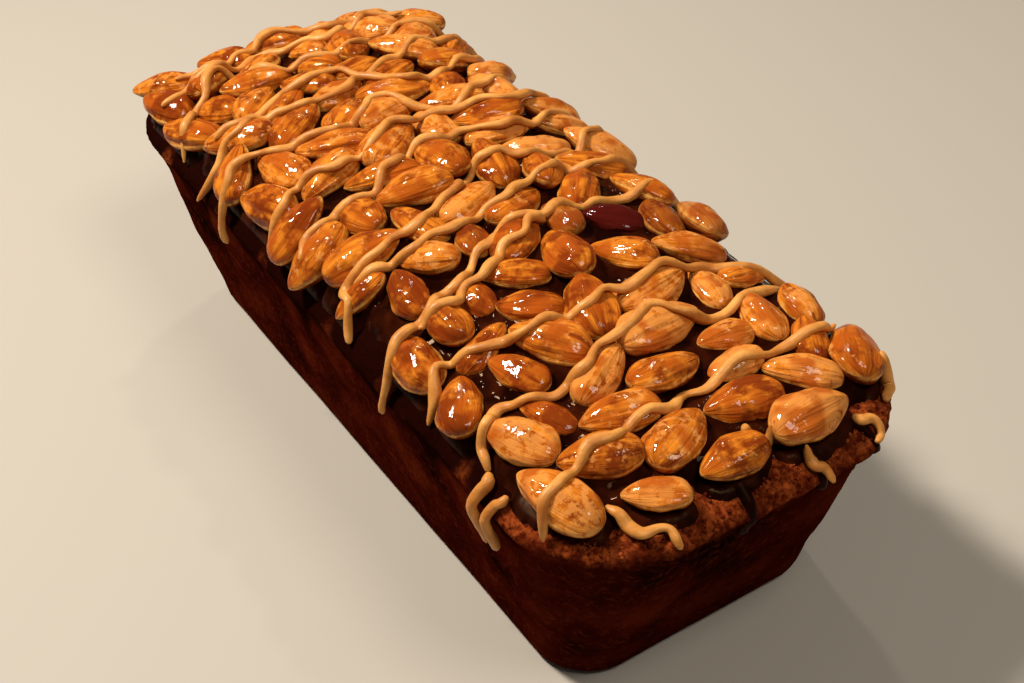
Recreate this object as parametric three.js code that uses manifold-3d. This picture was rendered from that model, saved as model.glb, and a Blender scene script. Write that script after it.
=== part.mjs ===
// Peanut butter loaf cake with a glazed almond topping and a thick drizzle.
// Millimetres, +Z up. X runs across the loaf and Y along it, and the end at -Y
// is the one whose crust shows in front of the almonds.
// The origin is the middle of the flat bottom.

import * as THREE from 'three';
import { mergeVertices } from 'three/addons/utils/BufferGeometryUtils.js';
import Module from 'manifold-3d';

const wasm = await Module();
wasm.setup();

// Loaf: a tin shape that flares upwards, with a domed crust.
const baseWidth = 92;
const baseLength = 246;
const baseCorner = 17;
const baseEdge = 2.5;
const rimWidth = 116;
const rimLength = 300;
const rimCorner = 34;
const rimHeight = 68;
const lipHeight = 9;
const lipBulge = 1.4;
const edgeRise = 3.8;
const edgeRun = 9;
const domeRise = 14;
const domeAcrossPower = 3;
const domeAlongPower = 2.5;
const sideBands = 5;
const crustRings = [0.975, 0.93, 0.86, 0.72, 0.5, 0.25];

// Unevenness of the loaf's skin, which dies away towards the bottom.
const crustRelief = 0.7;
const reliefFade = 12;

// Almond: one end pointed and the other round.
const almondLength = 24.5;
const almondLengthSpread = 0.1;
const almondWidthShare = 0.56;
const almondWidthSpread = 0.08;
const almondThickShare = 0.63;
const almondPitch = 9;
const almondRoll = 14;
const almondLift = 1.6;
const almondRaise = 0.4;
const pitchRaise = 0.2;

// Its facets: rings at a share of the half length, of a share of the half width.
const almondSides = 6;
const almondRings = [[-0.55, 0.86], [0.36, 0.88]];
const facetGrow = 1.08;

// Topping bed: the sticky layer that the almonds lie in.
const bedThickness = 3.4;
const bedInset = 4.5;
const bedFrontInset = 12;
const bedBackInset = 10;
const bedWobble = 1.6;
const bedRings = [0.94, 0.7, 0.4];
const bedDepth = 12;
const bedTaper = [0.9, 0.96];

// Almonds stay this far inside the rim.
const almondInset = 8;
const almondFrontInset = 11;
const almondBackInset = 17;

// Almonds laid by rule: rows from farRowsFrom to the far end, each with some jitter.
const farRowsFrom = -14;
const farRowStep = 14.4;
const acrossStep = 18.6;
const jitterAcross = 5;
const jitterAlong = 4;

// How almonds that overlap push apart: each is three beads in a row. Those laid by
// hand move less.
const settleRounds = 120;
const beads = [-1, 0, 1];
const beadReach = 0.48;
const beadRadius = 0.48;
const pushShare = 0.12;
const twistShare = 0.012;
const handLaidFreedom = 0.35;

// How an almond leans with the crust.
const slopeStep = 4;
const steepest = 0.6;

// Drizzle.
const drizzleRadius = 1.75;
const drizzleSides = 4;
const drizzleStep = 12;
const dripStep = 7;
const drizzleSmoothing = 3;
const crustRest = 0.4;
const stepsPerPoint = 12;
const hangStep = 2;
const hangAboveRim = 2.5;
const hangOut = 1.1;

// Its side-to-side wander: a slow wave and a faster one.
const meanderSize = 1.7;
const meanderPitch = 17;
const meanderFade = 6;
const slowWave = 0.7;
const fastWave = 0.45;
const fastPitch = 0.61;
const strandPhase = 1.7;
const dripPhase = 0.9;

const clearance = 0.35;
const seed = 4177;
const randomFactor = 16807;
const randomRange = 2147483647;

// Rows of almonds nearest the front, by hand: across, along, turn in degrees, and length
// before its own variation.
const frontRows = [
  [
    [-27, -138, 141, 20], [-5.5, -139, 174, 21], [22.5, -139, 8, 23.5],
  ],
  [
    [-47.5, -126, 107, 26], [-30, -122, 152, 22.5], [-11.5, -127.5, 30, 25],
    [9, -128, 162, 22.5], [44, -130.5, 65, 24.5],
  ],
  [
    [-43.5, -104.5, 116, 24], [-19.5, -113, 163, 21.5], [29.5, -124, 142, 21],
    [42, -118, 79, 17],
  ],
  [
    [-32.5, -101, 110, 18.5], [-14, -98, 27, 21], [-1, -108.5, 6, 22], [15, -113.5, 170, 20.5],
    [46, -106, 75, 19],
  ],
  [
    [-49, -83, 60, 20.5], [-33.5, -87, 100, 20.5], [7, -96, 11, 25], [22, -101, 165, 19],
    [33, -104.5, 90, 21],
  ],
  [
    [-19.5, -81.5, 137, 22], [12, -81, 5, 22.5], [27, -85, 94, 20], [41, -84, 8, 20],
  ],
  [
    [-35, -69, 25, 20.5], [-15, -67, 142, 21], [0, -74, 78, 24], [15, -64.5, 128, 21],
    [34, -68, 165, 22],
  ],
  [
    [-48.5, -60.5, 85, 23], [-37, -54, 91, 19], [-26, -54, 95, 19], [-12, -53, 151, 20],
    [3, -52, 86, 23], [50, -55, 75, 24.5],
  ],
  [
    [-38.5, -40, 93, 21], [-3, -37, 29, 22.5], [12, -40, 79, 20], [25, -44, 136, 21],
    [38, -53, 82, 22],
  ],
  [
    [-45, -26, 158, 20], [-28, -30, 137, 21], [-13.5, -26.5, 92, 20], [5, -21, 20, 23],
    [24, -27, 60, 22], [45, -32, 110, 24],
  ],
];

// Drizzle strands: how far the left and right ends hang over the side, and the points
// that each goes through, across and along.
const strands = [
  {
    hangs: [0, 0],
    via: [[-55, -130], [-45, -124], [-29, -121.5], [-11, -118.5], [9, -116.5], [34, -116.5], [50, -116]],
  },
  {
    hangs: [0, 4],
    via: [[-54, -104], [-51, -96], [-40, -93.5], [-28, -98.5], [-16, -95.5], [8, -91], [19, -98], [50, -91]],
  },
  { hangs: [0, 6], via: [[-57, -77], [-44, -69], [-30, -77], [-10, -79], [10, -79], [30, -79], [56, -90]] },
  { hangs: [5, 9], via: [[-57, -57], [-45, -53], [-25, -45], [-8, -35], [8, -36], [30, -37], [57, -37]] },
  { hangs: [0, 0], via: [[-46, -55], [-30, -53], [-16, -47], [-2, -41], [8, -37]] },
  { hangs: [0, 5], via: [[-57, -33], [-50, -22], [-25, -19], [-6, -10], [6, -1], [20, -6], [42, -5], [57, 4]] },
  { hangs: [0, 3], via: [[-50, -24], [-33, -27], [-12, -25], [8, -22], [26, -17], [42, -19], [57, -19]] },
  { hangs: [0, 5], via: [[-56, -2], [-45, 6], [-24, 7], [-8, 16], [12, 17], [30, 11], [57, 20]] },
  { hangs: [0, 0], via: [[-57, 22], [-40, 27], [-22, 24], [-2, 31], [18, 30], [40, 26], [56, 33]] },
  { hangs: [8, 7], via: [[-57, 51], [-50, 55], [-30, 46], [-12, 45], [2, 52], [18, 36], [40, 43], [57, 45]] },
  { hangs: [1, 3], via: [[-57, 70], [-44, 69], [-20, 82], [2, 80], [16, 60], [34, 64], [57, 74]] },
  { hangs: [0, 9], via: [[-50, 74], [-32, 72], [-12, 66], [8, 74], [30, 84], [55, 88]] },
  { hangs: [0, 4], via: [[-57, 88], [-44, 101], [-28, 114], [-10, 100], [14, 97], [36, 107], [55, 104]] },
  { hangs: [0, 0], via: [[-54, 112], [-30, 117], [-8, 124], [12, 111], [30, 121], [46, 117]] },
  { hangs: [0, 6], via: [[-43, 126], [-22, 125], [0, 133], [20, 127], [53, 132]] },
];

// Short ends of drizzle at the front.
const frontDrips = [
  { hangs: [0, 18], via: [[-53.5, -104], [-58, -104.5]] },
  { hangs: [0, 15], via: [[-54, -113], [-58, -111]] },
  { hangs: [0, 0], via: [[-39, -133], [-35.5, -140.5], [-31.5, -144.5], [-28, -150]] },
  { hangs: [0, 0], via: [[2.5, -134.5], [6, -136], [9, -138]] },
  { hangs: [0, 2], via: [[14, -145], [17.5, -149]] },
  { hangs: [0, 0], via: [[33, -141], [37, -144.5], [35, -149]] },
  { hangs: [0, 0], via: [[51.5, -131], [49.5, -136], [45.5, -140.5]] },
];

function makeRandom(start) {
  let state = start;
  return () => {
    state = (state * randomFactor) % randomRange;
    return state / randomRange;
  };
}

const mix = THREE.MathUtils.lerp;
const clamp = THREE.MathUtils.clamp;
const radians = THREE.MathUtils.degToRad;

// Gentle unevenness, about -1 to 1.
function relief(x, y, z) {
  const a = Math.sin(x * 0.13 + 1.7) * Math.sin(y * 0.11 + 0.4);
  const b = Math.sin(x * 0.05 - y * 0.083 + z * 0.16 + 2.1);
  const c = Math.sin(y * 0.19 + z * 0.21 + 5.2) * Math.cos(x * 0.17 - z * 0.12);
  return (a + b + c) / 2.2;
}

// Half sizes and corner radius of the loaf's outline at a height.
function outlineAt(z) {
  const share = clamp(z / rimHeight, 0, 1);
  const lip = clamp((z - rimHeight + lipHeight) / lipHeight, 0, 1);
  const bulge = lipBulge * lip * lip - lipBulge;
  return {
    width: mix(baseWidth, rimWidth, share) / 2 + bulge,
    length: mix(baseLength, rimLength, share) / 2 + bulge,
    corner: mix(baseCorner, rimCorner, share),
  };
}

// How far a point lies inside an outline, negative outside.
function depthInside(x, y, outline) {
  const qx = Math.abs(x) - (outline.width - outline.corner);
  const qy = Math.abs(y) - (outline.length - outline.corner);
  const outside = Math.hypot(Math.max(qx, 0), Math.max(qy, 0));
  return outline.corner - outside - Math.min(Math.max(qx, qy), 0);
}

const rim = outlineAt(rimHeight);

// Height of the crust's top: a rounded edge, then a dome that is lower at the ends.
function crustHeight(x, y) {
  const depth = Math.max(depthInside(x, y, rim), 0);
  const run = Math.min(depth / edgeRun, 1);
  const edge = edgeRise * Math.sqrt(1 - (1 - run) * (1 - run));
  const across = 1 - Math.min(Math.abs(x) / rim.width, 1) ** domeAcrossPower;
  const along = 1 - Math.min(Math.abs(y) / rim.length, 1) ** domeAlongPower;
  return rimHeight + edge + domeRise * across * along + crustRelief * relief(x, y, 0) * run;
}

// Points round an outline, the same count at every height.
function ringPoints(outline, cornerSteps = 4, endSteps = 2, sideSteps = 7) {
  const points = [];
  const { width, length, corner } = outline;
  const sides = [[1, 1], [-1, 1], [-1, -1], [1, -1]];
  sides.forEach(([sx, sy], index) => {
    const cx = sx * (width - corner);
    const cy = sy * (length - corner);
    for (let step = 0; step <= cornerSteps; step += 1) {
      const angle = (index + step / cornerSteps) * Math.PI / 2;
      points.push([cx + corner * Math.cos(angle), cy + corner * Math.sin(angle)]);
    }
    const [x0, y0] = points[points.length - 1];
    const alongEnd = index % 2 === 0;
    const steps = alongEnd ? endSteps : sideSteps;
    const x1 = alongEnd ? -x0 : x0;
    const y1 = alongEnd ? y0 : -y0;
    for (let step = 1; step < steps; step += 1) {
      points.push([mix(x0, x1, step / steps), mix(y0, y1, step / steps)]);
    }
  });
  return points;
}

// Closed skin over rings of equal count, with a fan at both ends.
function skinRings(rings, firstPole, lastPole) {
  const count = rings[0].length;
  const vertices = [firstPole, ...rings.flat(), lastPole];
  const faces = [];
  const at = (ring, point) => 1 + ring * count + (point % count);
  for (let point = 0; point < count; point += 1) {
    faces.push(0, at(0, point + 1), at(0, point));
    for (let ring = 0; ring < rings.length - 1; ring += 1) {
      faces.push(at(ring, point), at(ring, point + 1), at(ring + 1, point + 1));
      faces.push(at(ring, point), at(ring + 1, point + 1), at(ring + 1, point));
    }
    faces.push(at(rings.length - 1, point), at(rings.length - 1, point + 1), vertices.length - 1);
  }
  const geometry = new THREE.BufferGeometry();
  geometry.setAttribute('position', new THREE.Float32BufferAttribute(vertices.flat(), 3));
  geometry.setIndex(faces);
  return geometry;
}

// The loaf, grown outwards and upwards by a margin.
function makeLoaf(margin) {
  const lipFoot = rimHeight - lipHeight;
  const sideHeights = [rimHeight - lipHeight / 2, rimHeight];
  for (let band = sideBands; band >= 0; band -= 1) {
    sideHeights.unshift(mix(baseEdge, lipFoot, band / sideBands));
  }
  const base = outlineAt(0);
  const shrunk = {
    width: base.width - baseEdge,
    length: base.length - baseEdge,
    corner: base.corner - baseEdge,
  };
  const rings = [ringPoints(shrunk).map(([x, y]) => [x, y, 0])];
  for (const z of sideHeights) {
    const outline = outlineAt(z);
    rings.push(ringPoints(outline).map(([x, y]) => {
      const wave = crustRelief * relief(x, y, z) * Math.min(z / reliefFade, 1);
      const grow = 1 + (wave + margin) / outline.width;
      const growAlong = 1 + (wave + margin) / outline.length;
      return [x * grow, y * growAlong, z];
    }));
  }
  const edge = ringPoints(rim);
  for (const share of crustRings) {
    rings.push(edge.map(([x, y]) => [
      x * share,
      y * share,
      crustHeight(x * share, y * share) + margin,
    ]));
  }
  return skinRings(rings, [0, 0, 0], [0, 0, crustHeight(0, 0) + margin]);
}

function makeAlmondList() {
  const random = makeRandom(seed);
  const almonds = [];
  const either = () => 2 * random() - 1;
  const addAlmond = (x, y, turn, usualLength, freedom) => {
    const length = usualLength * (1 + almondLengthSpread * either());
    const width = length * almondWidthShare * (1 + almondWidthSpread * either());
    almonds.push({
      x,
      y,
      turn: radians(turn),
      length,
      width,
      thick: width * almondThickShare,
      pitch: radians(almondPitch * either()),
      roll: radians(almondRoll * either()),
      lift: almondLift * random() * random(),
      freedom,
    });
  };
  for (const row of frontRows) {
    for (const [x, y, turn, usualLength] of row) {
      addAlmond(x, y, turn, usualLength, handLaidFreedom);
    }
  }
  const rowStart = almondInset + 2 - rim.width;
  let shift = 0;
  for (let y = farRowsFrom; y < rim.length - almondBackInset; y += farRowStep) {
    shift = acrossStep / 2 - shift;
    for (let x = rowStart + shift; x < rim.width - almondInset; x += acrossStep) {
      const along = y + jitterAlong * (random() - 0.5);
      const across = x + jitterAcross * (random() - 0.5);
      addAlmond(across, along, 180 * random(), almondLength, 1);
    }
  }
  settleAlmonds(almonds);
  return almonds;
}

// Almonds that overlap push each other apart, and turn as they do.
function settleAlmonds(almonds) {
  for (let round = 0; round < settleRounds; round += 1) {
    almonds.forEach((one, index) => {
      for (const two of almonds.slice(index + 1)) {
        if (Math.hypot(one.x - two.x, one.y - two.y) < almondLength * (1 + almondLengthSpread)) {
          partAlmonds(one, two);
        }
      }
      keepOnTop(one);
    });
  }
}

function partAlmonds(one, two) {
  for (const beadOne of beads) {
    for (const beadTwo of beads) {
      const [ax, ay] = beadAt(one, beadOne);
      const [bx, by] = beadAt(two, beadTwo);
      const apart = Math.max(Math.hypot(bx - ax, by - ay), clearance);
      const press = beadRadius * (one.width + two.width) - apart;
      if (press > 0) {
        const px = pushShare * press * (bx - ax) / apart;
        const py = pushShare * press * (by - ay) / apart;
        pushAlmond(one, -px, -py, ax, ay);
        pushAlmond(two, px, py, bx, by);
      }
    }
  }
}

function beadAt(almond, bead) {
  const reach = bead * (almond.length - almond.width) * beadReach;
  return [almond.x + reach * Math.cos(almond.turn), almond.y + reach * Math.sin(almond.turn)];
}

function pushAlmond(almond, px, py, atX, atY) {
  almond.x += px * almond.freedom;
  almond.y += py * almond.freedom;
  const twist = (atX - almond.x) * py - (atY - almond.y) * px;
  almond.turn += twistShare * twist * almond.freedom;
}

function keepOnTop(almond) {
  const acrossLimit = rim.width - almondInset;
  almond.x = clamp(almond.x, -acrossLimit, acrossLimit);
  almond.y = clamp(almond.y, -rim.length + almondFrontInset, rim.length - almondBackInset);
  const short = almondInset - depthInside(almond.x, almond.y, rim);
  if (short > 0) {
    const fromCentre = Math.hypot(almond.x, almond.y);
    almond.x -= short * almond.x / fromCentre;
    almond.y -= short * almond.y / fromCentre;
  }
}

// Each almond's place: it leans with the crust below it, and with its own tilt.
function placeAlmond(almond) {
  const { x, y } = almond;
  const riseX = crustHeight(x + slopeStep, y) - crustHeight(x - slopeStep, y);
  const riseY = crustHeight(x, y + slopeStep) - crustHeight(x, y - slopeStep);
  const slopeX = riseX / (2 * slopeStep);
  const slopeY = riseY / (2 * slopeStep);
  const cos = Math.cos(almond.turn);
  const sin = Math.sin(almond.turn);
  const crustLong = clamp(slopeX * cos + slopeY * sin, -steepest, steepest);
  const crustSide = clamp(slopeY * cos - slopeX * sin, -steepest, steepest);
  almond.slopeLong = crustLong + Math.tan(almond.pitch);
  almond.slopeSide = crustSide + Math.tan(almond.roll);
  const raise = pitchRaise * almond.length * Math.abs(Math.tan(almond.pitch));
  almond.z = crustHeight(x, y) + almondRaise + almond.thick / 2 + almond.lift + raise;
}

const almondList = makeAlmondList();
almondList.forEach(placeAlmond);

function makeAlmond(almond) {
  const half = almond.length / 2;
  const rings = almondRings.map(([along, wide]) => {
    const ring = [];
    for (let side = 0; side < almondSides; side += 1) {
      const angle = 2 * Math.PI * side / almondSides;
      const across = wide * Math.cos(angle) * almond.width / 2;
      const up = wide * Math.sin(angle) * facetGrow * almond.thick / 2;
      ring.push([along * half, across, up]);
    }
    return ring;
  });
  const geometry = skinRings(rings, [-half, 0, 0], [half, 0, 0]);
  const place = new THREE.Matrix4().makeTranslation(almond.x, almond.y, almond.z);
  const turn = new THREE.Matrix4().makeRotationZ(almond.turn);
  const lean = new THREE.Matrix4().makeRotationY(-Math.atan(almond.slopeLong));
  const roll = new THREE.Matrix4().makeRotationX(Math.atan(almond.slopeSide));
  return geometry.applyMatrix4(place.multiply(turn).multiply(lean).multiply(roll));
}

// Top of the bed, the crust or the almond that lies over a point.
function toppingHeight(x, y) {
  const onBed = depthInside(x, y, rim) > bedInset && y > bedFrontInset - rim.length;
  let height = crustHeight(x, y) + (onBed ? bedThickness : clearance + crustRest * drizzleRadius);
  for (const almond of almondList) {
    const dx = x - almond.x;
    const dy = y - almond.y;
    if (Math.hypot(dx, dy) < almond.length) {
      const u = dx * Math.cos(almond.turn) + dy * Math.sin(almond.turn);
      const v = dy * Math.cos(almond.turn) - dx * Math.sin(almond.turn);
      const inside = 1 - (2 * u / almond.length) ** 2 - (2 * v / almond.width) ** 2;
      if (inside > 0) {
        const lean = almond.slopeLong * u + almond.slopeSide * v;
        height = Math.max(height, almond.z + lean + almond.thick / 2 * Math.sqrt(inside));
      }
    }
  }
  return height;
}

// The bed: a sheet over the crust whose rim wanders. It is closed well inside the loaf.
function makeBed() {
  const middle = (bedFrontInset - bedBackInset) / 2;
  const outline = {
    width: rim.width - bedInset,
    length: rim.length - (bedFrontInset + bedBackInset) / 2,
    corner: rimCorner - bedInset,
  };
  const edge = ringPoints(outline, 2, 2, 6).map(([x, y], index) => {
    const wobble = bedWobble * (Math.sin(index * 1.9) + Math.sin(index * 0.83 + 1)) / 2;
    return [x + Math.sign(x) * wobble, y + middle + Math.sign(y) * wobble];
  });
  const floor = rimHeight - bedDepth;
  const ringAt = (share, rise) => edge.map(([x, y]) => [
    x * share,
    y * share,
    crustHeight(x * share, y * share) + rise,
  ]);
  const rings = [edge.map(([x, y]) => [x * bedTaper[0], y * bedTaper[1], floor])];
  rings.push(ringAt(1, crustRest * bedThickness));
  rings.push(...bedRings.map((share) => ringAt(share, bedThickness)));
  return skinRings(rings, [0, 0, floor], [0, 0, crustHeight(0, 0) + bedThickness]);
}

// A side-to-side wander, in mm, that grows from the strand's ends.
function meander(distance, phase) {
  const slow = Math.sin(2 * Math.PI * distance / meanderPitch + phase);
  const fast = Math.sin(2 * Math.PI * distance / (meanderPitch * fastPitch) + 2.3 * phase);
  return meanderSize * (slowWave * slow + fastWave * fast);
}

// Points every millimetre or so along a smooth curve through the given points.
function wanderingPath(points, phase) {
  const curve = new THREE.CatmullRomCurve3(
    points.map(([x, y]) => new THREE.Vector3(x, y, 0)), false, 'catmullrom', 0.5);
  const segments = stepsPerPoint * (points.length - 1);
  const path = [];
  let distance = 0;
  for (let step = 0; step <= segments; step += 1) {
    const here = curve.getPoint(step / segments);
    const next = curve.getPoint(Math.min((step + 0.5) / segments, 1));
    const last = curve.getPoint(Math.max((step - 0.5) / segments, 0));
    const tangent = next.clone().sub(last).normalize();
    const end = Math.min(step, segments - step) / meanderFade;
    const aside = meander(distance, phase) * Math.min(end, 1);
    path.push([here.x - tangent.y * aside, here.y + tangent.x * aside]);
    distance += curve.getPoint(Math.min((step + 1) / segments, 1)).distanceTo(here);
  }
  return path;
}

// Points down the side of the loaf from a point near the rim.
function hangingPath([x, y], drop) {
  const path = [];
  const steps = Math.ceil(drop / hangStep);
  const before = depthInside(x - 0.5, y, rim) - depthInside(x + 0.5, y, rim);
  const beside = depthInside(x, y - 0.5, rim) - depthInside(x, y + 0.5, rim);
  for (let step = 0; step <= steps; step += 1) {
    const z = rimHeight + hangAboveRim - drop * step / steps;
    const out = depthInside(x, y, outlineAt(z)) + crustRelief + clearance + hangOut * drizzleRadius;
    path.push([x + before * out, y + beside * out, z]);
  }
  return path;
}

function smoothPath(path, rounds) {
  let smooth = path;
  for (let round = 0; round < rounds; round += 1) {
    smooth = smooth.map((point, index) => {
      const last = smooth[Math.max(index - 1, 0)];
      const next = smooth[Math.min(index + 1, smooth.length - 1)];
      return point.map((value, axis) => (last[axis] + 2 * value + next[axis]) / 4);
    });
  }
  return smooth;
}

// A strand lies on whatever is highest under it, and hangs off the side at its ends.
// Its bends over the rim are named, so that they stay when it is thinned out.
function drapeStrand({ hangs: [left, right], via }, phase) {
  const flat = wanderingPath(via, phase);
  const top = flat.map(([x, y]) => [x, y, toppingHeight(x, y) + drizzleRadius]);
  const before = left > 0 ? hangingPath(via[0], left).reverse() : [];
  const after = right > 0 ? hangingPath(via[via.length - 1], right) : [];
  const path = smoothPath([...before, ...top, ...after], drizzleSmoothing);
  return { path, bends: [before.length - 1, before.length + top.length] };
}

// Every so many millimetres along a path, its bends and its end.
function thinPath({ path, bends }, spacing) {
  const kept = [path[0]];
  let since = 0;
  for (let index = 1; index < path.length - 1; index += 1) {
    const [x0, y0, z0] = path[index - 1];
    const [x1, y1, z1] = path[index];
    since += Math.hypot(x1 - x0, y1 - y0, z1 - z0);
    const nearEnd = path.length - index < 3;
    if ((since >= spacing || bends.includes(index)) && !nearEnd) {
      kept.push(path[index]);
      since = 0;
    }
  }
  kept.push(path[path.length - 1]);
  return kept;
}

// A few-sided tube whose steps fall on the path's own points.
function makeTube(path) {
  const curve = new THREE.CatmullRomCurve3(path.map((point) => new THREE.Vector3(...point)));
  curve.getUtoTmapping = (share) => share;
  const section = new THREE.Shape();
  for (let side = 0; side < drizzleSides; side += 1) {
    const angle = 2 * Math.PI * side / drizzleSides;
    const corner = [drizzleRadius * Math.cos(angle), drizzleRadius * Math.sin(angle)];
    if (side === 0) {
      section.moveTo(...corner);
    } else {
      section.lineTo(...corner);
    }
  }
  const steps = path.length - 1;
  return new THREE.ExtrudeGeometry(section, { steps, extrudePath: curve });
}

// Closed mesh to solid, and back to the largest closed shell of its surface.
function toSolid(source) {
  const geometry = source.clone();
  geometry.deleteAttribute('normal');
  geometry.deleteAttribute('uv');
  const merged = mergeVertices(geometry, 1e-4);
  return new wasm.Manifold(new wasm.Mesh({
    numProp: 3,
    vertProperties: new Float32Array(merged.attributes.position.array),
    triVerts: new Uint32Array(merged.index.array),
  }));
}

function toGeometry(solid) {
  const mesh = solid.getMesh();
  const geometry = new THREE.BufferGeometry();
  geometry.setAttribute('position', new THREE.BufferAttribute(mesh.vertProperties, 3));
  geometry.setIndex(new THREE.BufferAttribute(mesh.triVerts, 1));
  return mergeVertices(geometry, 1e-3);
}

function largestShell(geometry) {
  const index = geometry.index.array;
  const parent = Array.from({ length: geometry.attributes.position.count }, (_, vertex) => vertex);
  const find = (vertex) => {
    let root = vertex;
    while (parent[root] !== root) {
      parent[root] = parent[parent[root]];
      root = parent[root];
    }
    return root;
  };
  const shells = new Map();
  for (let corner = 0; corner < index.length; corner += 3) {
    parent[find(index[corner])] = find(index[corner + 1]);
    parent[find(index[corner + 1])] = find(index[corner + 2]);
  }
  for (let corner = 0; corner < index.length; corner += 3) {
    const triangle = [index[corner], index[corner + 1], index[corner + 2]];
    const whole = triangle[0] !== triangle[1] && triangle[1] !== triangle[2] && triangle[0] !== triangle[2];
    const root = find(triangle[0]);
    if (!shells.has(root)) {
      shells.set(root, []);
    }
    if (whole) {
      shells.get(root).push(...triangle);
    }
  }
  const largest = [...shells.values()].reduce((best, shell) => (shell.length > best.length ? shell : best));
  geometry.setIndex(largest);
  return geometry;
}

function makeTopping() {
  let solid = toSolid(makeBed());
  for (const almond of almondList) {
    solid = solid.add(toSolid(makeAlmond(almond)));
  }
  strands.forEach((strand, index) => {
    const draped = drapeStrand(strand, strandPhase * index);
    solid = solid.add(toSolid(makeTube(thinPath(draped, drizzleStep))));
  });
  frontDrips.forEach((drip, index) => {
    const draped = drapeStrand(drip, dripPhase * index);
    solid = solid.add(toSolid(makeTube(thinPath(draped, dripStep))));
  });
  return largestShell(toGeometry(solid.subtract(toSolid(makeLoaf(clearance)))));
}

function makePiece(name, geometry, color, roughness) {
  geometry.computeVertexNormals();
  const material = new THREE.MeshStandardMaterial({ color, roughness, metalness: 0 });
  const mesh = new THREE.Mesh(geometry, material);
  mesh.name = name;
  return mesh;
}

const cake = new THREE.Group();
cake.name = 'peanut_butter_loaf_cake';
cake.add(makePiece('loaf', makeLoaf(0), 0x4a1d0c, 0.6));
cake.add(makePiece('almond_topping', makeTopping(), 0xb5702c, 0.35));

export default cake;
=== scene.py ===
import math

import bmesh
import bpy
import numpy as np
from mathutils import Matrix, Vector, noise


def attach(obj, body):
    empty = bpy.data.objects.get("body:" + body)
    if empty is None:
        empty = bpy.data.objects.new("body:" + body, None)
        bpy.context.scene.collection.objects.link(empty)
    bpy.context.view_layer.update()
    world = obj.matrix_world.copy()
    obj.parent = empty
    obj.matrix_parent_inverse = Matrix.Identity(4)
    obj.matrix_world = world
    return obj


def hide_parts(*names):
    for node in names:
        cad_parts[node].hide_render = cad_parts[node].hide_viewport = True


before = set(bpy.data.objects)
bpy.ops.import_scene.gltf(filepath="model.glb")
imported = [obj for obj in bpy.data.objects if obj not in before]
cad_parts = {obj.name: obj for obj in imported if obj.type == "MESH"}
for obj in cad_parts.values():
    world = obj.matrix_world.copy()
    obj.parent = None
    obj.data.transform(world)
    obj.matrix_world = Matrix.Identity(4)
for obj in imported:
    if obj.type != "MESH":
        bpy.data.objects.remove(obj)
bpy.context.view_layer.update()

# The cake's sizes are in millimetres, as in the solids. Blender's are metres.
# X runs across the loaf, Y along it away from the bare crust end, Z up.
mm = 0.001

loaf = {
    "baseWidth": 92, "baseLength": 246, "baseCorner": 17, "baseEdge": 2.5,
    "rimWidth": 116, "rimLength": 300, "rimCorner": 34, "rimHeight": 68,
    "lipHeight": 9, "lipBulge": 1.4,
    "edgeRise": 3.8, "edgeRun": 9,
    "domeRise": 14, "acrossPower": 3, "alongPower": 2.5,
    "relief": 0.7, "reliefFade": 12,
    "clearance": 0.35,
}


def between(low, high, share):
    return low + (high - low) * share


def clamp(value):
    return min(max(value, 0), 1)


def relief(x, y, z):
    a = np.sin(x * 0.13 + 1.7) * np.sin(y * 0.11 + 0.4)
    b = np.sin(x * 0.05 - y * 0.083 + z * 0.16 + 2.1)
    c = np.sin(y * 0.19 + z * 0.21 + 5.2) * np.cos(x * 0.17 - z * 0.12)
    return (a + b + c) / 2.2


def outlineAt(z):
    share = clamp(z / loaf["rimHeight"])
    lip = clamp((z - loaf["rimHeight"] + loaf["lipHeight"]) / loaf["lipHeight"])
    bulge = loaf["lipBulge"] * lip * lip - loaf["lipBulge"]
    return {
        "width": between(loaf["baseWidth"], loaf["rimWidth"], share) / 2 + bulge,
        "length": between(loaf["baseLength"], loaf["rimLength"], share) / 2 + bulge,
        "corner": between(loaf["baseCorner"], loaf["rimCorner"], share),
    }


def depthInside(x, y, outline):
    qx = np.abs(x) - (outline["width"] - outline["corner"])
    qy = np.abs(y) - (outline["length"] - outline["corner"])
    outside = np.hypot(np.maximum(qx, 0), np.maximum(qy, 0))
    return outline["corner"] - outside - np.minimum(np.maximum(qx, qy), 0)


rim = outlineAt(loaf["rimHeight"])


def crustHeight(x, y):
    depth = np.maximum(depthInside(x, y, rim), 0)
    run = np.minimum(depth / loaf["edgeRun"], 1)
    edge = loaf["edgeRise"] * np.sqrt(1 - (1 - run) * (1 - run))
    across = 1 - np.minimum(np.abs(x) / rim["width"], 1) ** loaf["acrossPower"]
    along = 1 - np.minimum(np.abs(y) / rim["length"], 1) ** loaf["alongPower"]
    dome = loaf["domeRise"] * across * along
    return loaf["rimHeight"] + edge + dome + loaf["relief"] * relief(x, y, 0) * run


def outlinePoints(outline, cornerSteps, endSteps, sideSteps):
    points = []
    width, length, corner = outline["width"], outline["length"], outline["corner"]
    for index, (sx, sy) in enumerate([(1, 1), (-1, 1), (-1, -1), (1, -1)]):
        cx = sx * (width - corner)
        cy = sy * (length - corner)
        for step in range(cornerSteps + 1):
            angle = (index + step / cornerSteps) * math.pi / 2
            points.append((cx + corner * math.cos(angle), cy + corner * math.sin(angle)))
        x0, y0 = points[-1]
        alongEnd = index % 2 == 0
        steps = endSteps if alongEnd else sideSteps
        x1, y1 = (-x0, y0) if alongEnd else (x0, -y0)
        for step in range(1, steps):
            points.append((between(x0, x1, step / steps), between(y0, y1, step / steps)))
    return np.array(points)


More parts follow.
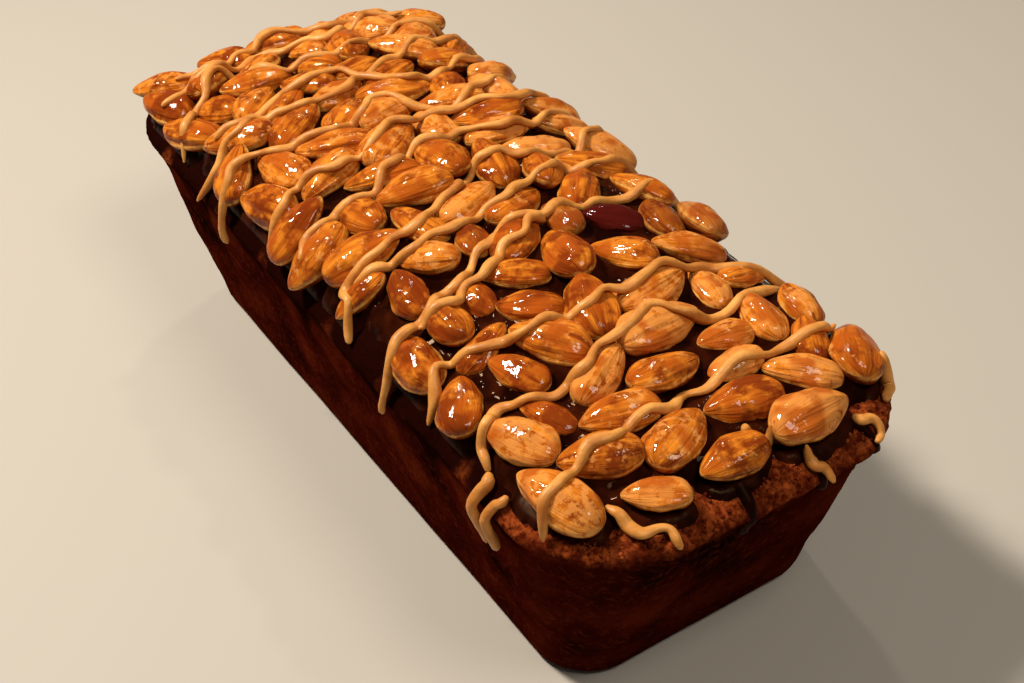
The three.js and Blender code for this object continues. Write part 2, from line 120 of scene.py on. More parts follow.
nuts = {
    "seed": 4177,
    "length": 24.5, "lengthSpread": 0.1,
    "widthShare": 0.56, "widthSpread": 0.08, "thickShare": 0.63,
    "pitch": 9, "roll": 14, "lift": 1.6, "raise": 0.4, "pitchRaise": 0.2,
    "inset": 8, "frontInset": 11, "backInset": 17,
    "farRowsFrom": -14, "farRowStep": 14.4, "acrossStep": 18.6,
    "jitterAcross": 5, "jitterAlong": 4,
    "settleRounds": 120, "beadReach": 0.48, "beadRadius": 0.48,
    "pushShare": 0.12, "twistShare": 0.012, "handLaidFreedom": 0.35,
    "slopeStep": 4, "steepest": 0.6,
}

# front rows, listed: across, along, turn in degrees, usual length
frontRows = [
    [(-27, -138, 141, 20), (-5.5, -139, 174, 21), (22.5, -139, 8, 23.5)],
    [(-47.5, -126, 107, 26), (-30, -122, 152, 22.5), (-11.5, -127.5, 30, 25), (9, -128, 162, 22.5),
     (44, -130.5, 65, 24.5)],
    [(-43.5, -104.5, 116, 24), (-19.5, -113, 163, 21.5), (29.5, -124, 142, 21), (42, -118, 79, 17)],
    [(-32.5, -101, 110, 18.5), (-14, -98, 27, 21), (-1, -108.5, 6, 22), (15, -113.5, 170, 20.5),
     (46, -106, 75, 19)],
    [(-49, -83, 60, 20.5), (-33.5, -87, 100, 20.5), (7, -96, 11, 25), (22, -101, 165, 19),
     (33, -104.5, 90, 21)],
    [(-19.5, -81.5, 137, 22), (12, -81, 5, 22.5), (27, -85, 94, 20), (41, -84, 8, 20)],
    [(-35, -69, 25, 20.5), (-15, -67, 142, 21), (0, -74, 78, 24), (15, -64.5, 128, 21), (34, -68, 165, 22)],
    [(-48.5, -60.5, 85, 23), (-37, -54, 91, 19), (-26, -54, 95, 19), (-12, -53, 151, 20), (3, -52, 86, 23),
     (50, -55, 75, 24.5)],
    [(-38.5, -40, 93, 21), (-3, -37, 29, 22.5), (12, -40, 79, 20), (25, -44, 136, 21), (38, -53, 82, 22)],
    [(-45, -26, 158, 20), (-28, -30, 137, 21), (-13.5, -26.5, 92, 20), (5, -21, 20, 23), (24, -27, 60, 22),
     (45, -32, 110, 24)],
]


def makeRandom(start):
    # the generator of the solids' source, so the almonds lie where the solids have them
    state = start
    factor, modulus = 7 ** 5, 2 ** 31 - 1

    def draw():
        nonlocal state
        state = (state * factor) % modulus
        return state / modulus
    return draw


def beadAt(nut, bead):
    reach = bead * (nut["length"] - nut["width"]) * nuts["beadReach"]
    return nut["x"] + reach * math.cos(nut["turn"]), nut["y"] + reach * math.sin(nut["turn"])


def pushNut(nut, px, py, atX, atY):
    nut["x"] += px * nut["freedom"]
    nut["y"] += py * nut["freedom"]
    twist = (atX - nut["x"]) * py - (atY - nut["y"]) * px
    nut["turn"] += nuts["twistShare"] * twist * nut["freedom"]


def partNuts(one, two):
    for beadOne in (-1, 0, 1):
        for beadTwo in (-1, 0, 1):
            ax, ay = beadAt(one, beadOne)
            bx, by = beadAt(two, beadTwo)
            apart = max(math.hypot(bx - ax, by - ay), loaf["clearance"])
            press = nuts["beadRadius"] * (one["width"] + two["width"]) - apart
            if press > 0:
                px = nuts["pushShare"] * press * (bx - ax) / apart
                py = nuts["pushShare"] * press * (by - ay) / apart
                pushNut(one, -px, -py, ax, ay)
                pushNut(two, px, py, bx, by)


def keepOnTop(nut):
    acrossLimit = rim["width"] - nuts["inset"]
    nut["x"] = min(max(nut["x"], -acrossLimit), acrossLimit)
    nut["y"] = min(max(nut["y"], nuts["frontInset"] - rim["length"]), rim["length"] - nuts["backInset"])
    short = nuts["inset"] - float(depthInside(nut["x"], nut["y"], rim))
    if short > 0:
        fromCentre = math.hypot(nut["x"], nut["y"])
        nut["x"] -= short * nut["x"] / fromCentre
        nut["y"] -= short * nut["y"] / fromCentre


def layNuts():
    random = makeRandom(nuts["seed"])
    laid = []

    def either():
        return 2 * random() - 1

    def addNut(x, y, turn, usualLength, freedom):
        length = usualLength * (1 + nuts["lengthSpread"] * either())
        width = length * nuts["widthShare"] * (1 + nuts["widthSpread"] * either())
        laid.append({
            "x": x, "y": y, "turn": math.radians(turn),
            "length": length, "width": width, "thick": width * nuts["thickShare"],
            "pitch": math.radians(nuts["pitch"] * either()),
            "roll": math.radians(nuts["roll"] * either()),
            "lift": nuts["lift"] * random() * random(),
            "freedom": freedom,
        })

    for row in frontRows:
        for x, y, turn, usualLength in row:
            addNut(x, y, turn, usualLength, nuts["handLaidFreedom"])
    rowStart = nuts["inset"] + 2 - rim["width"]
    shift = 0
    y = nuts["farRowsFrom"]
    while y < rim["length"] - nuts["backInset"]:
        shift = nuts["acrossStep"] / 2 - shift
        x = rowStart + shift
        while x < rim["width"] - nuts["inset"]:
            along = y + nuts["jitterAlong"] * (random() - 0.5)
            across = x + nuts["jitterAcross"] * (random() - 0.5)
            addNut(across, along, 180 * random(), nuts["length"], 1)
            x += nuts["acrossStep"]
        y += nuts["farRowStep"]
    near = nuts["length"] * (1 + nuts["lengthSpread"])
    for _ in range(nuts["settleRounds"]):
        for index, one in enumerate(laid):
            for two in laid[index + 1:]:
                if math.hypot(one["x"] - two["x"], one["y"] - two["y"]) < near:
                    partNuts(one, two)
            keepOnTop(one)
    return laid


def inNutPlane(nut, x, y):
    dx, dy = x - nut["x"], y - nut["y"]
    cos, sin = math.cos(nut["turn"]), math.sin(nut["turn"])
    return dx * cos + dy * sin, dy * cos - dx * sin


def leanNut(nut):
    step, steepest = nuts["slopeStep"], nuts["steepest"]
    x, y = nut["x"], nut["y"]
    slopeX = (crustHeight(x + step, y) - crustHeight(x - step, y)) / (2 * step)
    slopeY = (crustHeight(x, y + step) - crustHeight(x, y - step)) / (2 * step)
    cos, sin = math.cos(nut["turn"]), math.sin(nut["turn"])
    crustLong = min(max(slopeX * cos + slopeY * sin, -steepest), steepest)
    crustSide = min(max(slopeY * cos - slopeX * sin, -steepest), steepest)
    nut["slopeLong"] = crustLong + math.tan(nut["pitch"])
    nut["slopeSide"] = crustSide + math.tan(nut["roll"])
    above = nuts["pitchRaise"] * nut["length"] * abs(math.tan(nut["pitch"]))
    nut["z"] = float(crustHeight(x, y)) + nuts["raise"] + nut["thick"] / 2 + nut["lift"] + above


laidNuts = layNuts()
for laidNut in laidNuts:
    leanNut(laidNut)
print("almonds laid:", len(laidNuts))

bed = {"thickness": 3.4, "inset": 4.5, "frontInset": 12, "backInset": 10}

drizzle = {
    "radius": 1.75,
    "smoothing": 3, "crustRest": 0.4, "stepsPerPoint": 12,
    "hangStep": 2, "hangAboveRim": 2.5, "hangOut": 1.1,
    "meanderSize": 1.7, "meanderPitch": 17, "meanderFade": 6,
    "slowWave": 0.7, "fastWave": 0.45, "fastPitch": 0.61, "fastPhase": 2.3,
    "strandPhase": 1.7, "dripPhase": 0.9,
}

# how far each strand hangs over the left and right side, and the points it goes through
strands = [
    ((0, 0), [(-55, -130), (-45, -124), (-29, -121.5), (-11, -118.5), (9, -116.5), (34, -116.5), (50, -116)]),
    ((0, 4), [(-54, -104), (-51, -96), (-40, -93.5), (-28, -98.5), (-16, -95.5), (8, -91), (19, -98),
              (50, -91)]),
    ((0, 6), [(-57, -77), (-44, -69), (-30, -77), (-10, -79), (10, -79), (30, -79), (56, -90)]),
    ((5, 9), [(-57, -57), (-45, -53), (-25, -45), (-8, -35), (8, -36), (30, -37), (57, -37)]),
    ((0, 0), [(-46, -55), (-30, -53), (-16, -47), (-2, -41), (8, -37)]),
    ((0, 5), [(-57, -33), (-50, -22), (-25, -19), (-6, -10), (6, -1), (20, -6), (42, -5), (57, 4)]),
    ((0, 3), [(-50, -24), (-33, -27), (-12, -25), (8, -22), (26, -17), (42, -19), (57, -19)]),
    ((0, 5), [(-56, -2), (-45, 6), (-24, 7), (-8, 16), (12, 17), (30, 11), (57, 20)]),
    ((0, 0), [(-57, 22), (-40, 27), (-22, 24), (-2, 31), (18, 30), (40, 26), (56, 33)]),
    ((8, 7), [(-57, 51), (-50, 55), (-30, 46), (-12, 45), (2, 52), (18, 36), (40, 43), (57, 45)]),
    ((1, 3), [(-57, 70), (-44, 69), (-20, 82), (2, 80), (16, 60), (34, 64), (57, 74)]),
    ((0, 9), [(-50, 74), (-32, 72), (-12, 66), (8, 74), (30, 84), (55, 88)]),
    ((0, 4), [(-57, 88), (-44, 101), (-28, 114), (-10, 100), (14, 97), (36, 107), (55, 104)]),
    ((0, 0), [(-54, 112), (-30, 117), (-8, 124), (12, 111), (30, 121), (46, 117)]),
    ((0, 6), [(-43, 126), (-22, 125), (0, 133), (20, 127), (53, 132)]),
]
frontDrips = [
    ((0, 18), [(-53.5, -104), (-58, -104.5)]),
    ((0, 15), [(-54, -113), (-58, -111)]),
    ((0, 0), [(-39, -133), (-35.5, -140.5), (-31.5, -144.5), (-28, -150)]),
    ((0, 0), [(2.5, -134.5), (6, -136), (9, -138)]),
    ((0, 2), [(14, -145), (17.5, -149)]),
    ((0, 0), [(33, -141), (37, -144.5), (35, -149)]),
    ((0, 0), [(51.5, -131), (49.5, -136), (45.5, -140.5)]),
]


def toppingHeight(x, y):
    onBed = depthInside(x, y, rim) > bed["inset"] and y > bed["frontInset"] - rim["length"]
    onCrust = loaf["clearance"] + drizzle["crustRest"] * drizzle["radius"]
    height = float(crustHeight(x, y)) + (bed["thickness"] if onBed else onCrust)
    for nut in laidNuts:
        if math.hypot(x - nut["x"], y - nut["y"]) < nut["length"]:
            u, v = inNutPlane(nut, x, y)
            inside = 1 - (2 * u / nut["length"]) ** 2 - (2 * v / nut["width"]) ** 2
            if inside > 0:
                lean = nut["slopeLong"] * u + nut["slopeSide"] * v
                height = max(height, nut["z"] + lean + nut["thick"] / 2 * math.sqrt(inside))
    return height


def meander(distance, phase):
    slow = math.sin(2 * math.pi * distance / drizzle["meanderPitch"] + phase)
    fastPitch = drizzle["meanderPitch"] * drizzle["fastPitch"]
    fast = math.sin(2 * math.pi * distance / fastPitch + drizzle["fastPhase"] * phase)
    return drizzle["meanderSize"] * (drizzle["slowWave"] * slow + drizzle["fastWave"] * fast)


def curvePoint(points, share):
    place = share * (len(points) - 1)
    index = min(int(place), len(points) - 2)
    t = place - index
    p1, p2 = Vector(points[index]), Vector(points[index + 1])
    p0 = Vector(points[index - 1]) if index > 0 else 2 * p1 - p2
    p3 = Vector(points[index + 2]) if index + 2 < len(points) else 2 * p2 - p1
    m1, m2 = (p2 - p0) / 2, (p3 - p1) / 2
    return p1 + m1 * t + (3 * (p2 - p1) - 2 * m1 - m2) * t ** 2 + (2 * (p1 - p2) + m1 + m2) * t ** 3


def wanderingPath(points, phase):
    segments = drizzle["stepsPerPoint"] * (len(points) - 1)
    path = []
    distance = 0
    for step in range(segments + 1):
        here = curvePoint(points, step / segments)
        ahead = curvePoint(points, min((step + 0.5) / segments, 1))
        behind = curvePoint(points, max((step - 0.5) / segments, 0))
        tangent = (ahead - behind).normalized()
        end = min(step, segments - step) / drizzle["meanderFade"]
        aside = meander(distance, phase) * min(end, 1)
        path.append((here.x - tangent.y * aside, here.y + tangent.x * aside))
        distance += (curvePoint(points, min((step + 1) / segments, 1)) - here).length
    return path


def hangingPath(point, drop, standOff):
    x, y = point
    steps = math.ceil(drop / drizzle["hangStep"])
    outX = float(depthInside(x - 0.5, y, rim) - depthInside(x + 0.5, y, rim))
    outY = float(depthInside(x, y - 0.5, rim) - depthInside(x, y + 0.5, rim))
    path = []
    for step in range(steps + 1):
        z = loaf["rimHeight"] + drizzle["hangAboveRim"] - drop * step / steps
        out = float(depthInside(x, y, outlineAt(z))) + standOff
        path.append((x + outX * out, y + outY * out, z))
    return path


def smoothPath(path, rounds):
    for _ in range(rounds):
        ends = [path[0]] + path + [path[-1]]
        path = [tuple((a + 2 * b + c) / 4 for a, b, c in zip(*ends[i:i + 3])) for i in range(len(path))]
    return path


def drapeStrand(hangs, points, phase):
    standOff = loaf["relief"] + loaf["clearance"] + drizzle["hangOut"] * drizzle["radius"]
    top = [(x, y, toppingHeight(x, y) + drizzle["radius"]) for x, y in wanderingPath(points, phase)]
    before = hangingPath(points[0], hangs[0], standOff)[::-1] if hangs[0] > 0 else []
    after = hangingPath(points[-1], hangs[1], standOff) if hangs[1] > 0 else []
    return smoothPath(before + top + after, drizzle["smoothing"])


def pickNone():
    bpy.ops.object.select_all(action="DESELECT")


def pickOnly(piece):
    pickNone()
    piece.select_set(True)
    bpy.context.view_layer.objects.active = piece


def placeInMesh(piece):
    pickOnly(piece)
    bpy.ops.object.transform_apply(location=True, rotation=True, scale=True)


def joinPieces(pieces, name):
    pickNone()
    for piece in pieces:
        piece.select_set(True)
    bpy.context.view_layer.objects.active = pieces[0]
    if len(pieces) > 1:
        bpy.ops.object.join()
    joined = bpy.context.view_layer.objects.active
    joined.name = name
    joined.data.name = name
    placeInMesh(joined)
    return joined


def smoothOutwards(piece):
    pickOnly(piece)
    bpy.ops.object.mode_set(mode="EDIT")
    bpy.ops.mesh.select_all(action="SELECT")
    bpy.ops.mesh.normals_make_consistent(inside=False)
    bpy.ops.object.mode_set(mode="OBJECT")
    bpy.ops.object.shade_smooth()
    return piece


def stackRings(name, rings, firstPole, lastPole):
    # a disc is extruded once for each ring, given a middle point at both ends and drawn to the rings
    count = len(rings[0])
    pickNone()
    bpy.ops.mesh.primitive_circle_add(vertices=count, radius=1, fill_type="NGON", location=(0, 0, 0))
    piece = bpy.context.object
    piece.name = name
    bpy.ops.object.mode_set(mode="EDIT")
    bpy.ops.mesh.select_all(action="SELECT")
    for _ in range(len(rings) - 1):
        bpy.ops.mesh.extrude_region_move(TRANSFORM_OT_translate={"value": (0, 0, 1)})
    bpy.ops.mesh.poke()
    bpy.ops.mesh.select_all(action="DESELECT")
    model = bmesh.from_edit_mesh(piece.data)
    for face in model.faces:
        if len(face.verts) > 4:
            face.select_set(True)
    bpy.ops.mesh.poke()
    model = bmesh.from_edit_mesh(piece.data)
    for vertex in model.verts:
        level = round(vertex.co.z)
        if math.hypot(vertex.co.x, vertex.co.y) < 0.5:
            vertex.co = Vector(lastPole if level > 0 else firstPole) * mm
        else:
            share = math.atan2(vertex.co.y, vertex.co.x) / (2 * math.pi)
            vertex.co = Vector(rings[level][round(share * count) % count]) * mm
    bmesh.update_edit_mesh(piece.data)
    bpy.ops.object.mode_set(mode="OBJECT")
    return smoothOutwards(piece)


def addFloats(mesh, name, values):
    attribute = mesh.attributes.new(name, "FLOAT", "POINT")
    attribute.data.foreach_set("value", np.asarray(values, np.float32))


def addVectors(mesh, name, values):
    attribute = mesh.attributes.new(name, "FLOAT_VECTOR", "POINT")
    attribute.data.foreach_set("vector", np.asarray(values, np.float32).ravel())


def applyModifiers(piece):
    pickOnly(piece)
    for modifier in list(piece.modifiers):
        bpy.ops.object.modifier_apply(modifier=modifier.name)


def newMaterial(name):
    material = bpy.data.materials.new(name)
    material.use_nodes = True
    tree = material.node_tree
    return material, tree, tree.nodes["Principled BSDF"]


def setGloss(shader, look):
    sockets = {"specular": "Specular IOR Level", "coat": "Coat Weight", "coatRoughness": "Coat Roughness"}
    for key, socket in sockets.items():
        if key in look:
            shader.inputs[socket].default_value = look[key]


def paint(piece, material):
    piece.data.materials.clear()
    piece.data.materials.append(material)


def addNode(tree, kind, **values):
    node = tree.nodes.new(kind)
    for key, value in values.items():
        if hasattr(node, key):
            setattr(node, key, value)
        else:
            node.inputs[key].default_value = value
    return node


def readAttribute(tree, name, output="Fac"):
    return addNode(tree, "ShaderNodeAttribute", attribute_name=name).outputs[output]


def readPlace(tree):
    return tree.nodes.new("ShaderNodeTexCoord").outputs["Object"]


def addNoise(tree, vector, scale, detail=4.0, roughness=0.55):
    node = addNode(tree, "ShaderNodeTexNoise", Scale=scale, Detail=detail, Roughness=roughness)
    tree.links.new(vector, node.inputs["Vector"])
    return node.outputs["Fac"]


def addRamp(tree, value, stops):
    node = tree.nodes.new("ShaderNodeValToRGB")
    while len(node.color_ramp.elements) < len(stops):
        node.color_ramp.elements.new(0.5)
    for element, (place, colour) in zip(node.color_ramp.elements, stops):
        element.position = place
        element.color = (*colour, 1) if isinstance(colour, tuple) else (colour, colour, colour, 1)
    tree.links.new(value, node.inputs["Fac"])
    return node.outputs["Color"]


def addMath(tree, operation, first, second):
    node = addNode(tree, "ShaderNodeMath", operation=operation)
    for socket, value in zip(node.inputs, (first, second)):
        if isinstance(value, (int, float)):
            socket.default_value = value
        else:
            tree.links.new(value, socket)
    return node.outputs["Value"]


def addMix(tree, share, first, second):
    node = addNode(tree, "ShaderNodeMix", data_type="RGBA")
    for socket, value in zip((node.inputs[0], node.inputs[6], node.inputs[7]), (share, first, second)):
        if isinstance(value, tuple):
            socket.default_value = (*value, 1)
        elif isinstance(value, (int, float)):
            socket.default_value = value
        else:
            tree.links.new(value, socket)
    return node.outputs[2]


def addBump(tree, height, strength, distance, normal=None):
    node = addNode(tree, "ShaderNodeBump", Strength=strength, Distance=distance)
    tree.links.new(height, node.inputs["Height"])
    if normal is not None:
        tree.links.new(normal, node.inputs["Normal"])
    return node.outputs["Normal"]


crust = {
    "cornerSteps": 44, "endSteps": 40, "sideSteps": 186,
    "heightStep": 1.25, "topRings": 34, "ringPower": 1.5,
    "waveSize": 0.011, "waveDepth": 0.0009,
    "pitSize": 0.0034, "pitDepth": 0.0007, "sideRough": 0.4,
    "cragSize": 0.0048, "cragDepth": 0.0026, "cragFront": 118, "cragHeight": 52, "cragFade": 14,
    "soakedShadeFront": 119, "soakedShadeDrop": 9,
    "topFade": 2.5, "topWander": 0.012, "poreShade": 0.8,
    "deepColour": (0.008, 0.0016, 0.001),
    "sideColour": (0.045, 0.0038, 0.0016),
    "warmColour": (0.092, 0.0118, 0.0030),
    # top crust colour: a thinner, lighter crust, with painted light where the light falls on the top
    "litTopColour": (0.31, 0.062, 0.013),
    # soaked rims: dark syrup with painted shade under the overhanging nuts
    "soakedShadeColour": (0.011, 0.0018, 0.0009),
    "speckColour": (0.12, 0.020, 0.005),
    "specular": 0.0,
}


def modelCrust():
    steps = (crust["cornerSteps"], crust["endSteps"], crust["sideSteps"])
    base = outlineAt(0)
    shrunk = {key: value - loaf["baseEdge"] for key, value in base.items()}
    count = len(outlinePoints(base, *steps))
    rings = [np.column_stack([outlinePoints(shrunk, *steps), np.zeros(count)])]
    sideRings = round((loaf["rimHeight"] - loaf["baseEdge"]) / crust["heightStep"])
    for ring in range(sideRings + 1):
        z = between(loaf["baseEdge"], loaf["rimHeight"], ring / sideRings)
        outline = outlineAt(z)
        points = outlinePoints(outline, *steps)
        x, y = points.T
        wave = loaf["relief"] * relief(x, y, z) * min(z / loaf["reliefFade"], 1)
        grown = (x * (1 + wave / outline["width"]), y * (1 + wave / outline["length"]), np.full(count, z))
        rings.append(np.column_stack(grown))
    edge = outlinePoints(rim, *steps)
    for ring in range(1, crust["topRings"]):
        share = 1 - (ring / crust["topRings"]) ** crust["ringPower"]
        x, y = edge[:, 0] * share, edge[:, 1] * share
        rings.append(np.column_stack([x, y, crustHeight(x, y)]))
    piece = stackRings("crust", rings, (0, 0, 0), (0, 0, float(crustHeight(0, 0))))

    skin = piece.vertex_groups.new(name="skin")
    bareRim = piece.vertex_groups.new(name="bareRim")
    soakedShade = []
    for vertex in piece.data.vertices:
        x, y, z = vertex.co / mm
        above = clamp((z - loaf["rimHeight"] + 2) / 4)
        rough = between(crust["sideRough"], 1, above) * clamp((z - 1) / 6)
        skin.add([vertex.index], rough, "REPLACE")
        front = clamp((-y - crust["cragFront"]) / crust["cragFade"])
        upper = clamp((z - crust["cragHeight"]) / crust["cragFade"])
        bareRim.add([vertex.index], front * upper, "REPLACE")
        # the rims are soaked dark with syrup, with painted shade from the overhanging nuts, down to a wavy
        # edge, but not the bare band
        back = y + crust["soakedShadeFront"] + 4 * math.sin(z * 0.5 + x * 0.2)
        down = z - loaf["rimHeight"] + crust["soakedShadeDrop"]
        down += 5 * math.sin(y * 0.16 + 1) + 3 * math.sin(y * 0.41)
        soakedShade.append(clamp(back / 8) * clamp(down / 7))
    addFloats(piece.data, "soakedShade", soakedShade)
    pushes = [("wave", "CLOUDS", "skin"), ("crag", "CLOUDS", "bareRim"), ("pit", "VORONOI", "skin")]
    for name, kind, group in pushes:
        texture = bpy.data.textures.new(name, type=kind)
        texture.noise_scale = crust[name + "Size"]
        push = piece.modifiers.new(name, "DISPLACE")
        push.texture = texture
        push.texture_coords = "LOCAL"
        push.vertex_group = group
        push.strength = crust[name + "Depth"]
        push.mid_level = 0.5
    applyModifiers(piece)
    return piece


def crustMaterial():
    material, tree, shader = newMaterial("bakedCrust")
    place = readPlace(tree)
    blotch = addNoise(tree, place, 38, 5)
    grain = addNoise(tree, place, 420, 6, 0.7)
    pore = addNode(tree, "ShaderNodeTexVoronoi", feature="F1", Scale=520)
    tree.links.new(place, pore.inputs["Vector"])
    side = addRamp(tree, blotch, [
        (0.3, crust["deepColour"]), (0.5, crust["sideColour"]), (0.7, crust["warmColour"])])
    speckle = addRamp(tree, grain, [(0.52, 0.0), (0.66, 0.55)])
    side = addMix(tree, speckle, side, crust["speckColour"])
    # the top crust: the thinner crust's lighter colour, with painted light and painted highlights on its
    # grains
    upper = addRamp(tree, grain, [
        (0.30, crust["sideColour"]), (0.43, crust["warmColour"]), (0.6, crust["litTopColour"])])
    stain = addNoise(tree, place, 95, 4, 0.6)
    upper = addMix(tree, addRamp(tree, stain, [(0.48, 0.0), (0.6, 0.75)]), upper, crust["sideColour"])
    height = addNode(tree, "ShaderNodeSeparateXYZ")
    tree.links.new(place, height.inputs[0])
    wander = addMath(tree, "MULTIPLY_ADD", blotch, crust["topWander"])
    wander.node.inputs[2].default_value = -crust["topWander"] / 2
    lifted = addMath(tree, "ADD", height.outputs["Z"], wander)
    # above the rim the colour turns to the top colour, painted lighter where the light falls
    onLitTop = addNode(tree, "ShaderNodeMapRange", interpolation_type="SMOOTHSTEP")
    tree.links.new(lifted, onLitTop.inputs["Value"])
    onLitTop.inputs["From Min"].default_value = (loaf["rimHeight"] - crust["topFade"]) * mm
    onLitTop.inputs["From Max"].default_value = (loaf["rimHeight"] + crust["topFade"]) * mm
    colour = addMix(tree, onLitTop.outputs["Result"], side, upper)
    # the soaked rims are darkened: syrup-dark crust, with painted shade from the overhanging nuts
    colour = addMix(tree, readAttribute(tree, "soakedShade"), colour, crust["soakedShadeColour"])
    # the pits are painted darker: painted shade in the pores
    poreShadeRamp = addRamp(tree, pore.outputs["Distance"], [(0.0, 0.35), (0.28, 1.0)])
    darker = addNode(tree, "ShaderNodeMix", data_type="RGBA", blend_type="MULTIPLY")
    darker.inputs[0].default_value = crust["poreShade"]
    tree.links.new(colour, darker.inputs[6])
    tree.links.new(poreShadeRamp, darker.inputs[7])
    tree.links.new(darker.outputs[2], shader.inputs["Base Color"])
    gloss = addRamp(tree, blotch, [(0.35, 0.62), (0.65, 0.4)])
    tree.links.new(gloss, shader.inputs["Roughness"])
    fine = addBump(tree, grain, 0.7, 0.0009)
    tree.links.new(addBump(tree, pore.outputs["Distance"], 0.35, 0.0006, fine), shader.inputs["Normal"])
    setGloss(shader, crust)
    return material


crustPiece = modelCrust()
paint(crustPiece, crustMaterial())
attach(crustPiece, "root")
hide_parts("loaf")
print("crust modelled:", len(crustPiece.data.polygons))


crumbs = {
    "seed": 613, "count": 230, "smallest": 0.35, "largest": 1.0, "shape": (1, 0.8, 0.65), "raise": 0.3,
    "dent": 0.35, "dentScale": 1.9, "fullTurn": 6.28,
    "across": 50, "band": 14, "edge": 0.6, "reach": 9,
    "specular": 0.05,
}


def makeCrumbs():
    # loose grains on the bare band at the front
    random = makeRandom(crumbs["seed"])
    pickNone()
    bpy.ops.mesh.primitive_ico_sphere_add(subdivisions=1, radius=1, location=(0, 0, 0))
    grain = bpy.context.object
    for vertex in grain.data.vertices:
        vertex.co *= 1 + crumbs["dent"] * noise.noise(vertex.co * crumbs["dentScale"])
    bpy.ops.object.shade_smooth()
    copies = []
    while len(copies) < crumbs["count"]:
        x = crumbs["across"] * (2 * random() - 1)
        y = crumbs["band"] * random() - rim["length"]
        depth = float(depthInside(x, y, rim))
        size = between(crumbs["smallest"], crumbs["largest"], random() ** 2)
        turns = [crumbs["fullTurn"] * random() for _ in range(3)]
        if depth < crumbs["edge"] or depth > crumbs["reach"]:
            continue
        pickOnly(grain)
        bpy.ops.object.duplicate(linked=False)
        copy = bpy.context.object
        copy.location = Vector((x, y, float(crustHeight(x, y)) + crumbs["raise"] * size)) * mm
        copy.rotation_euler = turns
        copy.scale = [share * size * mm for share in crumbs["shape"]]
        copies.append(copy)
    pickOnly(grain)
    bpy.ops.object.delete()
    return joinPieces(copies, "crumbs")


def crumbMaterial():
    material, tree, shader = newMaterial("cakeCrumb")
    place = readPlace(tree)
    tint = addNoise(tree, place, 240, 3)
    fine = addNoise(tree, place, 1500, 3)
    # the crumbs take the crust's colours, the top colour with its painted light among them
    colour = addRamp(tree, tint, [
        (0.35, crust["sideColour"]), (0.5, crust["warmColour"]), (0.66, crust["litTopColour"])])
    tree.links.new(colour, shader.inputs["Base Color"])
    tree.links.new(addRamp(tree, fine, [(0.3, 0.7), (0.7, 0.95)]), shader.inputs["Roughness"])
    tree.links.new(addBump(tree, fine, 0.6, 0.0003), shader.inputs["Normal"])
    setGloss(shader, crumbs)
    return material


crumbPiece = makeCrumbs()
paint(crumbPiece, crumbMaterial())
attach(crumbPiece, "root")
print("crumbs modelled:", len(crumbPiece.data.polygons))


almond = {
    "seed": 9301, "kinds": 4, "around": 40, "along": 23,
    "tipPower": 0.64, "bluntPower": 0.44,
    "dent": 0.15, "dentScale": 1.6, "ridge": 0.024, "bend": 0.07, "keel": 0.07, "plump": 1.08,
    "amber": (0.45, 0.115, 0.0085),
    "gold": (0.64, 0.202, 0.017),
    "tan": (0.72, 0.290, 0.066),
    # edge colour: a paler skin margin, with a painted rim sheen
    "creamSheen": (0.82, 0.40, 0.085),
    "stain": (0.37, 0.073, 0.006),
    "toast": (0.21, 0.036, 0.004),
    # dark glaze colour, also used as painted shade on the nut's underside
    "glazeAndShade": (0.17, 0.023, 0.0025),
    "darkRed": (0.062, 0.0045, 0.0028),
    "grainAround": 6, "grainAlong": 1.3, "patternShift": 40, "patternApart": 3, "grainApart": 17,
    # the underside is darker: syrup glaze where the nut lies in it, with painted shade under the nut
    "rimBand": 0.5, "footShadeFrom": 0.05, "footShadeBand": 0.5, "footShadeShare": 0.85,
    "toneFrom": 0.08, "toneSpread": 0.75, "toneAcross": 0.25,
    "toneWeight": 0.21, "mottleWeight": 0.3, "paleGain": 2.2,
    "specular": 0.0, "coat": 0.42, "coatRoughness": 0.035,
}

# nuts that show their own tone, by their order in the rows: how far they are soaked in
# syrup, and how dark (1) or pale (0) their skin is
soakedNuts = {40: 1.0, 39: 0.45, 41: 0.5, 36: 0.3, 44: 0.3}
skinTones = {
    0: 0.1, 1: 0.5, 2: 0.0, 3: 0.15, 4: 0.45, 5: 0.3, 6: 0.9, 7: 0.6, 8: 0.1, 9: 0.4, 10: 0.1, 11: 0.6,
    12: 1.0, 13: 0.1, 14: 0.4, 15: 0.0, 16: 0.25, 17: 0.85, 18: 0.9, 19: 0.0, 20: 0.15, 21: 0.15, 22: 0.35,
    23: 0.15, 24: 0.1, 26: 0.8, 28: 0.8, 29: 0.5, 31: 0.8, 32: 0.9, 33: 0.9, 34: 0.7, 35: 0.7, 37: 0.9,
}


